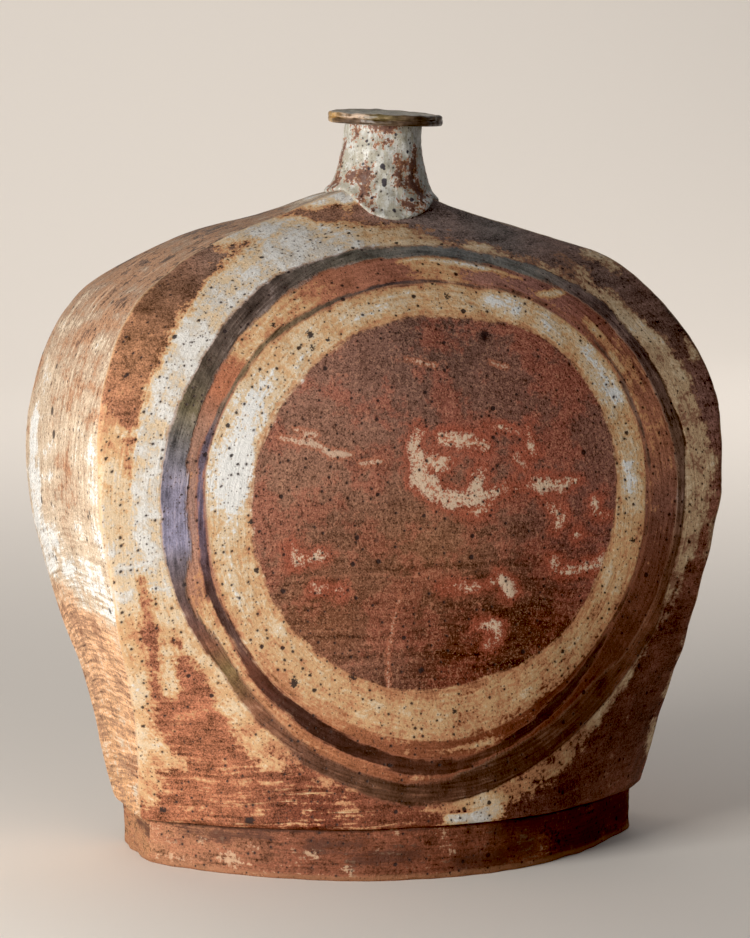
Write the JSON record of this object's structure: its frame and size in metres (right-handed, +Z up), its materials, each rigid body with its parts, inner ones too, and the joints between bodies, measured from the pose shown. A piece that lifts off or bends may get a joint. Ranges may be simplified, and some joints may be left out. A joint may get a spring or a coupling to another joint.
{
  "type": "vase",
  "caption": "Large slab-built stoneware bottle vase with bowed faces, ridged sides, a recessed foot band and a narrow collared neck under a flat rim, for branches or a few stems",
  "frame": {"origin": "bounding-box centre in X and Y, with Z = 0 on the table under the foot", "axes": "+Z up through the neck, +X to the right as the painted front is seen, +Y from the front face to the back face"},
  "size_m": [0.3561, 0.222, 0.3998],
  "materials": {
    "face_slip": "satin",
    "side_slip": "satin",
    "foot_clay": "matte",
    "neck_slip": "satin",
    "rim_ash": "gloss",
    "bare_clay": "matte"
  },
  "bodies": {
    "root": {"foot_front": "foot_clay", "foot_back": "foot_clay", "foot_left": "foot_clay", "foot_right": "foot_clay", "floor_slab": "bare_clay", "front_slab": "face_slip", "back_slab": "face_slip", "left_side_strip": "side_slip", "right_side_strip": "side_slip", "neck_collar": "neck_slip", "rim_flange": "rim_ash", "floor_coil": "bare_clay", "front_left_coil": "bare_clay", "front_right_coil": "bare_clay", "back_left_coil": "bare_clay", "back_right_coil": "bare_clay"}
  },
  "joints": []
}
